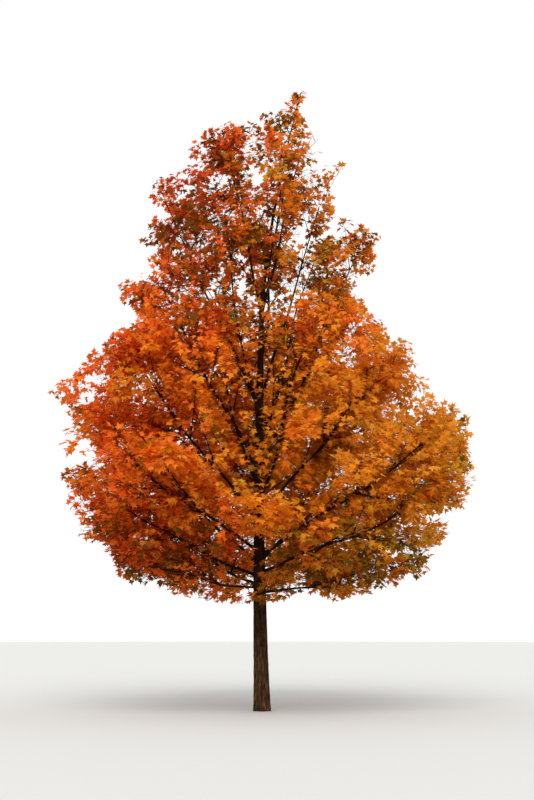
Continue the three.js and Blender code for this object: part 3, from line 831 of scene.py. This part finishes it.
def in_lane(points, tree, masses):
    """Whether each point is in front of a limb that shows."""
    found = np.zeros(len(points), bool)
    for bough, (shoots, _) in zip(tree.boughs, masses):
        if unit(bough["to"] - bough["from"])[1] < LANE_FRONT:
            continue
        found |= before_limb(points, bough_points(bough, LANE_FROM, LANE_TO, LIMB_PARTS), LANE_HALF)
        for line, _, _ in shoots:
            if line_length(line) > LANE_SHOOT:
                part = points_along(lambda t: mix(*line, t), 0, SHOOT_LANE_TO, 2)
                found |= before_limb(points, part, SHOOT_LANE_HALF)
    for low, high in LANE_HEIGHTS:
        found |= before_limb(points, points_along(trunk_centre, low, high, 3), LANE_HALF)
    return found & ~in_cluster(points)


def in_cluster(points):
    return in_oval(points, *CLUSTER) & (points[:, 1] < 0)


def spray_marks(spray):
    """Places that stand for a spray when the crown is searched for empty ones."""
    point, way, across = (spray[key] for key in ("point", "way", "across"))
    return [point + (way * along + across * aside) * spray["length"] for along, aside in MARKS]


def cluster_places():
    """Places for the sprays of the bright cluster."""
    x, z, wide, high = CLUSTER
    return [(x + a * wide, CLUSTER_FRONT, z + b * high) for a in CLUSTER_ACROSS for b in CLUSTER_UP]


def fill_out(tree, masses):
    """Sprays that reach from the nearest shoot to each empty place in the outer crown."""
    random = seeded(FILL_SEED)
    low, high = np.array(LOWEST), np.array(HIGHEST)
    probes = np.array([[random() for _ in range(3)] for _ in range(PROBES)]) * (high - low) + low
    wanted = (outward(probes) > FILL_FROM) | (probes[:, 2] < FILL_BELOW)
    wanted |= (probes[:, 1] > FILL_BEHIND) & (probes[:, 2] < FILL_BEHIND_BELOW)
    wanted &= in_ragged_outline(probes) & ~in_sky_gap(probes)
    probes = probes[wanted & (tree.limb_room(probes) > FILL_CLEAR)]
    rooms = [CLUSTER_ROOM] * len(cluster_places()) + [PROBE_ROOM] * len(probes)
    probes = np.vstack((cluster_places(), probes))
    owners = tree.stem_distances(probes).argmin(1)
    marks = np.array([mark for _, sprays in masses for spray in sprays for mark in spray_marks(spray)])
    for probe, own, room in zip(probes, owners, rooms):
        if np.linalg.norm(marks - probe, axis=1).min() < room:
            continue
        spray = spray_towards(probe, own, masses[own][0], tree, random)
        if spray:
            masses[own][1].append(spray)
            marks = np.vstack((marks, spray_marks(spray)))


def spray_towards(probe, own, shoots, tree, random):
    """A spray from the nearest place on the mass's shoots or bough that reaches just past the probe."""
    limb = tree.limb_of(own)
    lines = [line for line, _, _ in shoots] + [limb[i : i + 2] for i in range(len(limb) - 1)]
    starts, ends = np.array(lines).swapaxes(0, 1)
    ways = ends - starts
    shares = np.clip(((probe - starts) * ways).sum(1) / (ways * ways).sum(1), FILL_FOOT, 1)
    feet = starts + ways * shares[:, None]
    foot = feet[np.linalg.norm(probe - feet, axis=1).argmin()]
    reach = math.dist(foot, probe)
    if not FILL_REACH[0] <= reach <= FILL_REACH[1]:
        return None
    way = (probe - foot) / reach
    spray = spray_of(foot, way, tilted_face(way, random), reach + FILL_PAST)
    return None if tree.pierced(spray, INFILL_ROOT) else spray


def bend_of(line, random):
    """How far the middle of a shoot stands off its straight line: down and to one side."""
    way = line[1] - line[0]
    level = np.cross(way, UP) * either_way(1, random)
    return SHOOT_BEND * (level - UP * np.linalg.norm(way) * mix(BEND_LEAST, 1, random()))


def spray_growth(spray, rng):
    """The twigs of one spray, and where each of its leaves starts and points."""
    way, across, face, start, length = (spray[key] for key in ("way", "across", "face", "point", "length"))
    end = start + way * AXIS_REACH * length - face * AXIS_HANG * length
    twigs = [(start, end, AXIS_RADIUS)]
    leaves = [(end, way * LEAF_FORWARD[1] + across * END_LEAF_ASIDE * turn) for turn in (-1, 0, 1)]
    count = max(2, round(NODES_SHARE * length / TWIG_STEP))
    for i in range(count):
        t = (i + NODE_FIRST) / (count + NODE_PAST) * NODES_TO
        node = mix(start, end, t / AXIS_REACH)
        reach, aside = (UPRIGHT_TWIG, face) if i % 2 else (TWIG_REACH * (1 - TWIG_SHORTENS * t), across)
        for side in (1, -1):
            twig_reach = length * reach * rng.uniform(*TWIG_SPREAD)
            twig_way = way * TWIG_FORWARD + aside * side * TWIG_ASIDE + face * TWIG_UP
            twig_way = unit(twig_way + rng.normal(0, TWIG_STRAY, 3))
            twigs.append((node, node + twig_way * twig_reach, TWIG_RADIUS))
            leaves += twig_leaves(node, twig_way, twig_reach, face)
    return twigs, leaves


def twig_leaves(node, way, reach, face):
    """Where the leaves of one twig start and point: in pairs, and three at its end."""
    beside = np.cross(way, face)
    steps = max(1, round(reach / LEAF_STEP))
    leaves = []
    for i in range(1, steps + 1):
        at_end = i == steps
        start, forward = node + way * reach * i / steps, way * LEAF_FORWARD[at_end]
        leaves += [(start, forward + beside * LEAF_ASIDE * turn) for turn in (-1, 0, 1) if turn or at_end]
    return leaves


def leaf_frames(starts, ways, rng):
    """Where each blade starts, its three directions and its length."""
    count = len(starts)

    def strays(spread):
        return rng.normal(0, spread, (count, 3))

    stalk_way = unit(unit(ways) + strays(STALK_STRAY))
    bases = starts + stalk_way * STALK * rng.uniform(*STALK_SPREAD, (count, 1))
    high = fade(bases[:, 2:], *LEAF_HEIGHTS)
    droop = stalk_way * rng.uniform(*LEAF_ALONG, (count, 1))
    droop = droop - UP * mix(*LEAF_HANG, high) * rng.uniform(*HANG_SPREAD, (count, 1))
    along = unit(droop + strays(LEAF_STRAY))
    outside = unit(bases * (1, 1, 0) + (1e-6, 0, 0))
    facing = UP + outside * mix(*LEAF_OUTWARD, high) + strays(1) * mix(*LEAF_TILT, high)
    across = unit(np.cross(along, facing))
    sizes = LEAF_SIZE * mix(*LEAF_GROWTH, high[:, 0]) * (1 + rng.uniform(-LEAF_SPREAD, LEAF_SPREAD, count))
    return bases, across, along, np.cross(across, along), sizes


def leaf_template():
    """A five-lobed blade of length 1, whose faces all meet at its base."""
    right = list(LEAF_HALF)
    left = [(-x, y) for x, y in reversed(right)]
    rim = np.array([(0.0, 0.0), *right, (0.0, 1.0), *left])
    height = LEAF_FOLD * np.abs(rim[:, 0]) - LEAF_CURL * rim[:, 1] ** 2
    return np.column_stack((rim, height)), np.array([(0, i, i + 1) for i in range(1, len(rim) - 1)])


def leaf_mesh(starts, bases, across, along, up, sizes):
    """Many leaves, each with a flat stalk."""
    template, faces = leaf_template()
    spread = template * sizes[:, None, None]
    blades = bases[:, None] + spread[..., :1] * across[:, None]
    blades = blades + spread[..., 1:2] * along[:, None] + spread[..., 2:] * up[:, None]
    half = across * STALK_WIDTH / 2
    stalks = np.stack((starts - half, starts + half), axis=1)
    first = len(template)
    return repeated(np.concatenate((blades, stalks), axis=1), np.vstack((faces, (first, first + 1, 0))))


def repeated(corners, faces):
    """Many meshes that have the same faces as one."""
    offsets = np.arange(len(corners))[:, None, None] * (corners[0].size // 3)
    return corners.reshape(-1, 3), (faces + offsets).reshape(-1, 3)


def tube_mesh(lines, radii, sides):
    """Many tubes with closed ends, all with the same number of rings."""
    tangents = unit(np.gradient(lines, axis=1))
    whole = unit(lines[:, -1] - lines[:, 0])
    aside = np.where(np.abs(whole[:, 2:]) > 0.9, (1.0, 0.0, 0.0), UP)
    normals = np.cross(whole, aside)[:, None]
    normals = unit(normals - tangents * (normals * tangents).sum(-1, keepdims=True))
    others = np.cross(tangents, normals)
    angles = math.tau * np.arange(sides) / sides
    ring = normals[:, :, None] * np.cos(angles)[:, None] + others[:, :, None] * np.sin(angles)[:, None]
    return repeated(lines[:, :, None] + ring * radii[:, :, None, None], tube_faces(lines.shape[1], sides))


def tube_faces(rings, sides):
    r, s = (grid.ravel() for grid in np.meshgrid(np.arange(rings - 1), np.arange(sides), indexing="ij"))
    a, b = r * sides + s, r * sides + (s + 1) % sides
    walls = np.vstack((np.column_stack((a, b, b + sides)), np.column_stack((a, b + sides, a + sides))))
    last = (rings - 1) * sides
    caps = [row for s in range(1, sides - 1) for row in ((0, s + 1, s), (last, last + s, last + s + 1))]
    return np.vstack((walls, caps))


def joined(parts):
    """Several (corners, faces) as one."""
    corners, faces = zip(*parts)
    firsts = np.cumsum([0] + [len(rows) for rows in corners])
    return np.concatenate(corners), np.concatenate([rows + first for rows, first in zip(faces, firsts)])


def wave_noise(rng, around, along, cells, cell_length):
    """Smooth noise from 0 to 1 on a limb's skin, which joins up round it."""
    rows = int(along.max() / cell_length) + 3
    lattice = rng.random((rows, cells))
    u, v = around * cells, along / cell_length
    i, j = np.floor(v).astype(int), np.floor(u).astype(int)
    low, high = (mix(lattice[n, j % cells], lattice[n, (j + 1) % cells], smooth(u - j)) for n in (i, i + 1))
    return mix(low, high, smooth(v - i))


def furrows(rng, around, along, cells, cell_length):
    """Bark relief from -1 in the furrows to 1 on the plates, drawn out along the limb."""
    swing = wave_noise(rng, around, along, max(3, cells // 4), 3 * cell_length)
    turned = (around + FURROW_SWING * (swing - 0.5) / cells) % 1.0
    plates = 1 - np.abs(2 * wave_noise(rng, turned, along, cells, cell_length) - 1)
    cracks = np.abs(2 * wave_noise(rng, turned, along, 2 * cells, cell_length / 2) - 1)
    return 1 - FURROW_SHARE * (1 - plates) ** 1.5 - CRACK_SHARE * (1 - cracks) ** 4


def trunk_mesh(rng):
    """The trunk and the leader on top of it, from the flat cut, with a lobed foot and furrowed bark."""
    fine, coarse = RING_STEPS
    rings = (np.arange(0, FINE_HEIGHT, fine), np.arange(FINE_HEIGHT, LEADER_TOP, coarse), (LEADER_TOP,))
    heights = np.concatenate(rings)
    around = np.arange(TRUNK_SIDES) / TRUNK_SIDES
    z, turn = np.meshgrid(heights, around, indexing="ij")
    angle = math.tau * turn
    lobe = 1 + LOBE_DEPTH * np.cos(ROOT_LOBES * angle + LOBE_TURN)
    leader = mix(trunk_radius(TRUNK_TOP), TIP_RADIUS, (z - TRUNK_TOP) / (LEADER_TOP - TRUNK_TOP))
    radius = np.where(z < TRUNK_TOP, trunk_radius(z), leader)
    radius = radius + FLARE * lobe * np.exp(-z / FLARE_HEIGHT)
    depth = FURROW_DEPTH * np.minimum(1, radius / BUTT_RADIUS) * fade(z, 0, PLAIN_FOOT)
    radius = radius + depth * (furrows(rng, turn, z, *TRUNK_FURROWS) - FURROW_MIDDLE)
    middle = trunk_centre(z)
    corners = middle + radius[..., None] * np.stack((np.cos(angle), np.sin(angle), 0 * angle), axis=-1)
    return corners.reshape(-1, 3), tube_faces(len(heights), TRUNK_SIDES)


def bough_mesh(bough, rng):
    """A bough from inside the trunk to its last leaves, with its collar and a shallow relief."""
    rings = max(BOUGH_RINGS, round(bough["length"] / BOUGH_STEP))
    shares = np.linspace(BOUGH_FROM, leafy_share(bough_points(bough, 0, 1, BOUGH_TRIALS)), rings)
    line = np.array([bough_point(bough, t) for t in shares])
    radii = np.array([bough_radius(bough, t) for t in shares])
    corners, faces = tube_mesh(line[None], radii[None], BOUGH_SIDES)
    around, along = np.arange(BOUGH_SIDES) / BOUGH_SIDES, shares * bough["length"]
    along, around = np.meshgrid(along, around, indexing="ij")
    relief = BOUGH_RELIEF * furrows(rng, around, along, *BOUGH_FURROWS)
    axis = np.repeat(line, BOUGH_SIDES, axis=0)
    return axis + (corners - axis) * (1 + relief.reshape(-1, 1)), faces


def in_scene(name, data):
    made = bpy.data.objects.new(name, data)
    bpy.context.scene.collection.objects.link(made)
    return made


def piece(name, mesh_data, material, slot, rounded=False):
    """A Blender object from corners and triangles, which rides on the one body."""
    corners, faces = mesh_data
    mesh = bpy.data.meshes.new(name)
    mesh.vertices.add(len(corners))
    mesh.vertices.foreach_set("co", corners.astype(np.float32).ravel())
    mesh.loops.add(faces.size)
    mesh.loops.foreach_set("vertex_index", faces.astype(np.int32).ravel())
    mesh.polygons.add(len(faces))
    mesh.polygons.foreach_set("loop_start", np.arange(0, faces.size, 3, dtype=np.int32))
    mesh.update(calc_edges=True)
    mesh.validate()
    mesh.polygons.foreach_set("use_smooth", np.full(len(mesh.polygons), rounded))
    mesh.materials.append(material)
    made = in_scene(name, mesh)
    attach(made, "root")
    return made


def set_inputs(node, inputs):
    for key, value in inputs.items():
        node.inputs[key.replace("_", " ")].default_value = value


class Shader:
    """A short way to add nodes to a material and join them up."""

    def __init__(self, name, **inputs):
        self.material = bpy.data.materials.new(name)
        self.material.use_nodes = True
        self.tree = self.material.node_tree
        self.surface = self.tree.nodes["Principled BSDF"]
        self.output = self.tree.nodes["Material Output"]
        set_inputs(self.surface, inputs)

    def node(self, kind, **inputs):
        made = self.tree.nodes.new(kind)
        set_inputs(made, inputs)
        return made

    def link(self, start, end):
        self.tree.links.new(start, end)

    def noise(self, place, **inputs):
        made = self.node("ShaderNodeTexNoise", **inputs)
        self.link(place, made.inputs["Vector"])
        return made.outputs["Fac"]

    def ramp(self, source, stops):
        made = self.node("ShaderNodeValToRGB")
        elements = made.color_ramp.elements
        while len(elements) < len(stops):
            elements.new(0.5)
        for element, (place, colour) in zip(elements, stops):
            element.position = place
            element.color = (*colour, 1)
        self.link(source, made.inputs["Fac"])
        return made.outputs["Color"]

    def mixed(self, first, second, kind="MIX"):
        """A node that mixes two colours."""
        made = self.node("ShaderNodeMix")
        made.data_type = "RGBA"
        made.blend_type = kind
        self.link(first, made.inputs[COLOUR_A])
        self.link(second, made.inputs[COLOUR_B])
        return made


def leaf_material(name, colour):
    """A plain leaf: one base colour, some of the light let through, and a soft gloss."""
    shader = Shader(name, Base_Color=(*colour, 1), Roughness=0.6, Specular_IOR_Level=0.08)
    through = shader.node("ShaderNodeBsdfTranslucent", Color=(*colour, 1))
    both = shader.node("ShaderNodeMixShader", Fac=0.5)
    shader.link(shader.surface.outputs["BSDF"], both.inputs[1])
    shader.link(through.outputs["BSDF"], both.inputs[2])
    shader.link(both.outputs["Shader"], shader.output.inputs["Surface"])
    return shader.material


def bark_material(name, fineness, bump_distance):
    """Bark whose plates and furrows are drawn out up the limb, paler low down, with darker patches."""
    shader = Shader(name, Roughness=0.92, Specular_IOR_Level=0.04)
    place = shader.node("ShaderNodeTexCoord").outputs["Object"]
    stretched = shader.node("ShaderNodeMapping", Scale=(fineness, fineness, fineness * BARK_STRETCH))
    shader.link(place, stretched.inputs["Vector"])
    plates = shader.noise(stretched.outputs["Vector"], Scale=1.0, Detail=8.0, Roughness=0.62, Distortion=0.4)
    apart = shader.node("ShaderNodeSeparateXYZ")
    shader.link(place, apart.inputs["Vector"])
    height = shader.node("ShaderNodeMapRange", From_Min=BARK_HEIGHTS[0], From_Max=BARK_HEIGHTS[1])
    shader.link(apart.outputs["Z"], height.inputs["Value"])
    by_height = shader.mixed(shader.ramp(plates, BARK_LOW), shader.ramp(plates, BARK_HIGH))
    shader.link(height.outputs["Result"], by_height.inputs["Factor"])
    patches = shader.ramp(shader.noise(place, Scale=7.0, Detail=3.0, Roughness=0.5), BARK_PATCHES)
    mottled = shader.mixed(by_height.outputs[MIXED], patches, "MULTIPLY")
    mottled.inputs["Factor"].default_value = BARK_MOTTLING
    shader.link(mottled.outputs[MIXED], shader.surface.inputs["Base Color"])
    bump = shader.node("ShaderNodeBump", Strength=0.8, Distance=bump_distance)
    shader.link(plates, bump.inputs["Height"])
    shader.link(bump.outputs["Normal"], shader.surface.inputs["Normal"])
    return shader.material


def twig_material():
    """Thin smooth bark, red-brown."""
    shader = Shader("twig_bark", Roughness=0.8, Specular_IOR_Level=0.08)
    grain = shader.noise(shader.node("ShaderNodeTexCoord").outputs["Object"], Scale=30.0, Detail=3.0)
    shader.link(shader.ramp(grain, TWIG_COLOURS), shader.surface.inputs["Base Color"])
    return shader.material


def shifted(x, z, shifts):
    return sum(amount * fade(z, *heights) * fade(x, *places) for amount, heights, places in shifts)


def tint_numbers(points, sprays, rng):
    """Each leaf's hue and its step of painted light and shade, from where it is, with a little of its spray's
    and a little of its own.
    """
    spray_count = sprays.max() + 1
    x, _, z = points.T
    band = np.exp(-(((z - BAND[0]) / BAND[1]) ** 2))
    warmth = WARMTH + WARMER_RIGHT * x + shifted(x, z, WARMTH_SHIFTS)
    warmth += band * mix(*BAND_WARMTH, fade(x, *BAND_PLACES))
    warmth += rng.normal(0, WARMTH_STRAYS[0], spray_count)[sprays]
    warmth += rng.normal(0, WARMTH_STRAYS[1], len(points))
    # depth is the painted shade: high for dark leaves, low for leaves with painted light
    inner = fade(outward(points), 1, 0) * mix(*PAINTED_SHADE_INSIDE, fade(z, *HIGH_LEAVES))
    depth = inner + shifted(x, z, PAINTED_SHADE_SHIFTS) + BAND_PAINTED_LIGHT * band + CLUSTER_PAINTED_LIGHT * in_cluster(points)
    depth += rng.normal(0, PAINTED_SHADE_STRAYS[1], len(points))
    depth += rng.normal(0, PAINTED_SHADE_STRAYS[0], spray_count)[sprays]
    return np.clip((warmth * len(HUES)).astype(int), 0, len(HUES) - 1), np.digitize(depth, PAINTED_SHADE_STEPS)


def grow_leaves(masses, rng):
    """The twigs, and every leaf's start, way, spray number and mass number."""
    rooted = in_ragged_outline(np.array([spray["point"] for _, rows in masses for spray in rows]))
    owned = [(own, spray) for own, (_, rows) in enumerate(masses) for spray in rows]
    twigs, rows = [], []
    for number, (own, spray) in enumerate(owned):
        spray_twigs, leaves = spray_growth(spray, rng)
        rows += [(start, way, number, own, rooted[number]) for start, way in leaves]
        if rooted[number]:
            twigs += spray_twigs
    return twigs, *(np.array(column) for column in zip(*rows))


def stays(middles, tips, tree, masses, rng):
    """Whether each leaf stays: inside the crown, in no open place, and seldom before a limb that shows."""
    keep = in_ragged_outline(middles) & (outward(tips, LEAF_OUTLINE) < OVERHANG)
    keep &= ~in_sky_gap(middles) & ~in_open_place(middles) & (tree.limb_room(middles) > LEAF_SIZE / 2)
    lane_share = mix(LANE_KEEP, 1, fade(middles[:, 2], *LANES_FADE))
    return keep & (~in_lane(middles, tree, masses) | (rng.random(len(keep)) < lane_share))


def make_leaves(tree, masses, rng):
    """Every leaf, in one piece for each tint."""
    twigs, starts, ways, sprays, owners, rooted = grow_leaves(masses, rng)
    bases, across, along, up, sizes = leaf_frames(starts, ways, rng)
    tips = bases + along * sizes[:, None]
    middles = bases + along * sizes[:, None] * 0.5
    keep = rooted & stays(middles, tips, tree, masses, rng)
    hue, shade = tint_numbers(middles, sprays, rng)
    # Each hue in five copies with painted light and painted shade, numbered 1 for the painted highlight to 5
    # for the deepest painted shade
    for h, (slot, colour) in enumerate(HUES):
        for s, (other, share) in enumerate(PAINTED_LIGHT_AND_SHADE):
            chosen = keep & (hue == h) & (shade == s)
            if not chosen.any():
                continue
            name = f"{slot.replace('leaf', 'leaves')}_{s + 1}"
            data = leaf_mesh(*(rows[chosen] for rows in (starts, bases, across, along, up, sizes)))
            tint = tuple(mix(a, b, share) for a, b in zip(colour, other))
            made = piece(name, data, leaf_material(name, tint), slot)
            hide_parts(*(mass_name(own) for own in np.unique(owners[chosen])))
    return twigs


def mass_name(own):
    return f"foliage_{own + 1:02d}" if own < 2 * PAIRS else "foliage_top"


def bent_line(line, bend, to, count):
    """Places along a bent shoot up to a share of its length, and their shares."""
    shares = np.linspace(0, to, count)[:, None]
    return mix(line[0], line[1], shares) + bend * 4 * shares * (1 - shares), shares[:, 0]


def shoot_line(line, bend, radius):
    """A shoot's middle line as far as leaves go with it, and its radius along that."""
    leafy = leafy_share(bent_line(line, bend, 1, SHOOT_TRIALS)[0])
    curve, shares = bent_line(line, bend, leafy, SHOOT_RINGS)
    return curve, radius * SHOOT_THICKER * mix(1, SHOOT_TIP, shares / shares[-1])


def make_twigs(masses, twigs):
    """The shoots in one piece, and the twigs of every spray in another."""
    shoots = [shoot_line(*row) for bent, _ in masses for row in bent]
    lines, radii = (np.array(rows) for rows in zip(*shoots))
    ends = np.array([(start, end) for start, end, _ in twigs])
    twig_radii = np.array([(radius, radius / 2) for _, _, radius in twigs])
    leafy = in_ragged_outline(ends[:, 1])
    material = twig_material()
    shoot_data = tube_mesh(lines, radii, SHOOT_SIDES)
    twig_data = tube_mesh(ends[leafy], twig_radii[leafy], TWIG_SIDES)
    for name, data in (("shoots", shoot_data), ("twigs", twig_data)):
        made = piece(name, data, material, "bark")
        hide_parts(*(mass_name(own) for own in range(len(masses))))


def make_bark(tree, rng):
    material = bark_material("trunk_bark", fineness=42, bump_distance=0.006)
    trunk = piece("bark_trunk", trunk_mesh(rng), material, "bark", rounded=True)
    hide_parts("trunk")
    data = joined([bough_mesh(bough, rng) for bough in tree.boughs])
    material = bark_material("bough_bark", fineness=60, bump_distance=0.003)
    boughs = piece("bark_boughs", data, material, "bark", rounded=True)
    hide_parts(*(f"bough_{i + 1:02d}" for i in range(2 * PAIRS)))


def make_camera():
    data = bpy.data.cameras.new("camera")
    data.sensor_fit = "VERTICAL"
    data.sensor_height = SENSOR
    data.lens = SENSOR * FOCAL_PIXELS / PICTURE_HEIGHT
    data.clip_end = CLIP_END
    camera = in_scene("camera", data)
    camera.location = EYE
    camera.rotation_euler = (math.radians(90 + TILT), 0, 0)
    bpy.context.scene.camera = camera


def make_stage():
    """A plain pale floor, a pale sky and one broad soft light from high on the left."""
    mesh = bpy.data.meshes.new("floor")
    turns = [math.tau * i / FLOOR_SIDES for i in range(FLOOR_SIDES)]
    rim = [(FLOOR_RADIUS * math.cos(turn), FLOOR_RADIUS * math.sin(turn), 0) for turn in turns]
    mesh.from_pydata(rim, [], [range(FLOOR_SIDES)])
    mesh.materials.append(Shader("floor", Base_Color=FLOOR_COLOUR, Roughness=0.9).material)
    in_scene("floor", mesh)
    world = bpy.data.worlds.new("sky")
    world.use_nodes = True
    background = world.node_tree.nodes["Background"]
    background.inputs["Color"].default_value = (1, 1, 1, 1)
    background.inputs["Strength"].default_value = 1.0
    bpy.context.scene.world = world
    light = bpy.data.lights.new("sun", "SUN")
    light.energy = SUN_STRENGTH
    light.angle = math.radians(SUN_WIDTH)
    in_scene("sun", light).rotation_euler = [math.radians(turn) for turn in SUN_TURN]
    bpy.context.scene.view_settings.view_transform = "Standard"


tree = Tree()
masses = [grow_mass(own, tree) for own in range(len(tree.stems))]
fill_out(tree, masses)
make_camera()
make_stage()
make_bark(tree, np.random.default_rng(BARK_SEED))
make_twigs(masses, make_leaves(tree, masses, np.random.default_rng(LEAF_SEED)))
